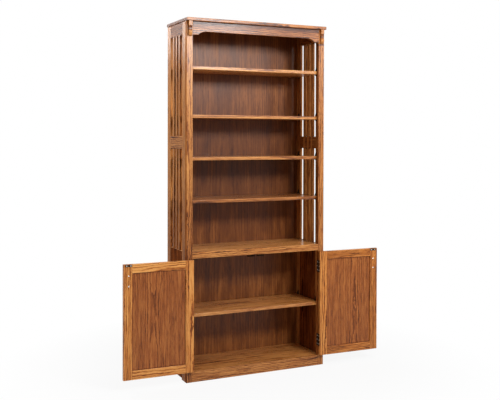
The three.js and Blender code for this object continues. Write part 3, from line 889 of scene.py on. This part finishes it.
for joint in frame["joints"]:
    door = joint["child"]
    name = door.split("_")[0]
    for place in ("upper", "lower"):
        for body in ("case", door):
            hinge(f"{name}_{place}", sides[name], Vector(joint["pos_m"]), body)


# Screws that hold the pulls, strike plates with a screw near each end, the bow pulls and the catches,
# in mm
pull_screw_radius = 4.0
pull_screw_height = 2.4
pull_shank_radius = 2.0
strike_corner = 3.0
strike_edge = 0.3
strike_screw_radius = 3.0
strike_screw_height = 1.0
strike_screw_rise = 0.15
strike_screw_share = 0.3
strike_screw_dome = 0.1
strike_shank_radius = 1.5
strike_shank_length = 8.0
pull_edge_mm = 2.4
pull_smooth_degrees = 50
pull_seat_facing = 0.95
catch_edge_mm = 0.8
toward_room = Matrix.Rotation(math.radians(-90), 4, "X")


def pull_screw(node):
    low, high = closed_extent(node)
    middle = (low + high) / 2
    seat = Vector((middle.x, high.y - pull_screw_height * MM, middle.z))
    length = (seat.y - low.y) / MM
    bm = screw(pull_screw_radius, pull_screw_height, pull_shank_radius, length)
    set_in_place(bm, seat, toward_room)
    finish_piece(node + "_metal", bm, body_of[node], slots[node], [node])


def strike(node):
    low, high = closed_extent(node)
    body = body_of[node]
    middle = Vector(((low.x + high.x) / 2, low.y, (low.z + high.z) / 2))
    half = (high - low) / 2 / MM
    corners = [(-half.z, -half.x), (half.z, -half.x), (half.z, half.x), (-half.z, half.x)]
    bm = prism(rounded([(z, x, strike_corner) for z, x in corners]), 1, 0, 2 * half.y)
    ease(bm, sharp_edges(bm), strike_edge, steps=2)
    set_in_place(bm, middle)
    finish_piece(node + "_metal", bm, body, slots[node], [node])
    screws = bmesh.new()
    for share in (-strike_screw_share, strike_screw_share):
        spot = Vector((2 * share * half.x, 2 * half.y + strike_screw_rise - strike_screw_height, 0))
        head = screw(strike_screw_radius, strike_screw_height, strike_shank_radius, strike_shank_length,
                     dome=strike_screw_dome)
        merge(screws, head, Matrix.Translation(spot) @ toward_room)
    set_in_place(screws, middle)
    finish_piece(node + "_screws", screws, body, "bright_metal")


# The edges at the feet of a pull stay sharp against the door.
def pull(node):
    bm = cad_mesh(node)
    rims = [edge for edge in rim_edges(bm, 0)
            if all(face.normal.y < pull_seat_facing for face in edge.link_faces)]
    ease(bm, rims, pull_edge_mm * MM, steps=4)
    finish_piece(node + "_metal", bm, body_of[node], slots[node], [node], pull_smooth_degrees)


def catch(node):
    bm = cad_mesh(node)
    ease(bm, sharp_edges(bm), catch_edge_mm * MM, steps=3)
    finish_piece(node + "_body", bm, "case", slots[node], [node])


for node in sorted(slots):
    if node.endswith("_screw"):
        pull_screw(node)
    elif node.endswith("_strike"):
        strike(node)
    elif node.endswith("_pull"):
        pull(node)
    elif node.endswith("_catch"):
        catch(node)


# Floor and light, in metres and watts. The shadow on the floor fades out towards its reach.
floor_size = 30.0
floor_cells = 8
floor_speck_cycles = (300, 300, 300)
floor_relief_strength = 0.05
floor_relief_depth_mm = 0.1
floor_grays = ((0.0, srgb(212, 212, 212)), (1.0, srgb(218, 218, 218)))
shadow_share = 0.1
shadow_reach = 1.6
fade_start_share = 0.5
paper = srgb(255, 255, 255)
world_level = 0.18

# Each lamp's place, what it is aimed at, its width and height, and its power
lamps = {
    "key": ((0.8, -2.9, 2.5), (0, 0, 1.4), (0.7, 0.5), 66),
    "right": ((2.1, -2.9, 2.6), (0, 0, 1.4), (0.6, 1.2), 23),
    "top": ((0.2, -1.6, 4.2), (0, 0, 1.0), (1.6, 1.2), 40),
    "rear": ((-1.6, 2.9, 2.75), (-0.4, 0.1, 1.4), (1.3, 1.0), 46),
    "left": ((-2.2, 0.8, 3.0), (-0.4, 0.1, 1.4), (1.2, 1.2), 29),
    "fill": ((-2.8, -2.8, 2.9), (0.2, 0, 1.6), (1.6, 1.6), 22),
}


def seen_directly(graph):
    path = graph.node("ShaderNodeLightPath").outputs
    seen = graph.math("MAXIMUM", path["Is Camera Ray"], path["Is Glossy Ray"])
    return graph.math("MAXIMUM", seen, path["Is Transmission Ray"])


def make_floor():
    material, graph = new_material("floor_look")
    place = graph.node("ShaderNodeTexCoord").outputs["Object"]
    speck = graph.noise(place, floor_speck_cycles)
    paint = graph.node("ShaderNodeBsdfDiffuse", {
        "Color": graph.ramp(speck, floor_grays),
        "Normal": graph.bump(speck, floor_relief_strength, floor_relief_depth_mm * MM)}).outputs[0]
    glow = graph.node("ShaderNodeEmission", {"Color": paper, "Strength": 1.0}).outputs[0]
    away = graph.length(place)
    share = graph.span(away, fade_start_share * shadow_reach, shadow_reach, 1 - shadow_share, 1.0)
    share = graph.math("MULTIPLY", seen_directly(graph), share)
    graph.surface(graph.node("ShaderNodeMixShader", {0: share, 1: paint, 2: glow}).outputs[0])
    bm = bmesh.new()
    bmesh.ops.create_grid(bm, x_segments=floor_cells, y_segments=floor_cells, size=floor_size / 2)
    mesh = bpy.data.meshes.new("floor")
    bm.to_mesh(mesh)
    bm.free()
    mesh.materials.append(material)
    floor = bpy.data.objects.new("floor", mesh)
    scene.collection.objects.link(floor)


def make_world():
    world = bpy.data.worlds.new("studio")
    world.use_nodes = True
    graph = Graph(world.node_tree)
    tint = (world_level, world_level, world_level, 1.0)
    color = graph.blend(seen_directly(graph), tint, paper)
    light = graph.node("ShaderNodeBackground", {0: color, 1: 1.0}).outputs[0]
    graph.node("ShaderNodeOutputWorld", {"Surface": light})
    scene.world = world


def add_lamp(name, place, aim, size, power):
    data = bpy.data.lights.new(name, "AREA")
    data.shape = "RECTANGLE"
    data.size, data.size_y = size
    data.energy = power
    lamp = bpy.data.objects.new(name, data)
    scene.collection.objects.link(lamp)
    lamp.location = place
    lamp.rotation_euler = (Vector(aim) - Vector(place)).to_track_quat("-Z", "Y").to_euler()


make_floor()
make_world()
for name, lamp in lamps.items():
    add_lamp(name, *lamp)
scene.view_settings.view_transform = "Standard"
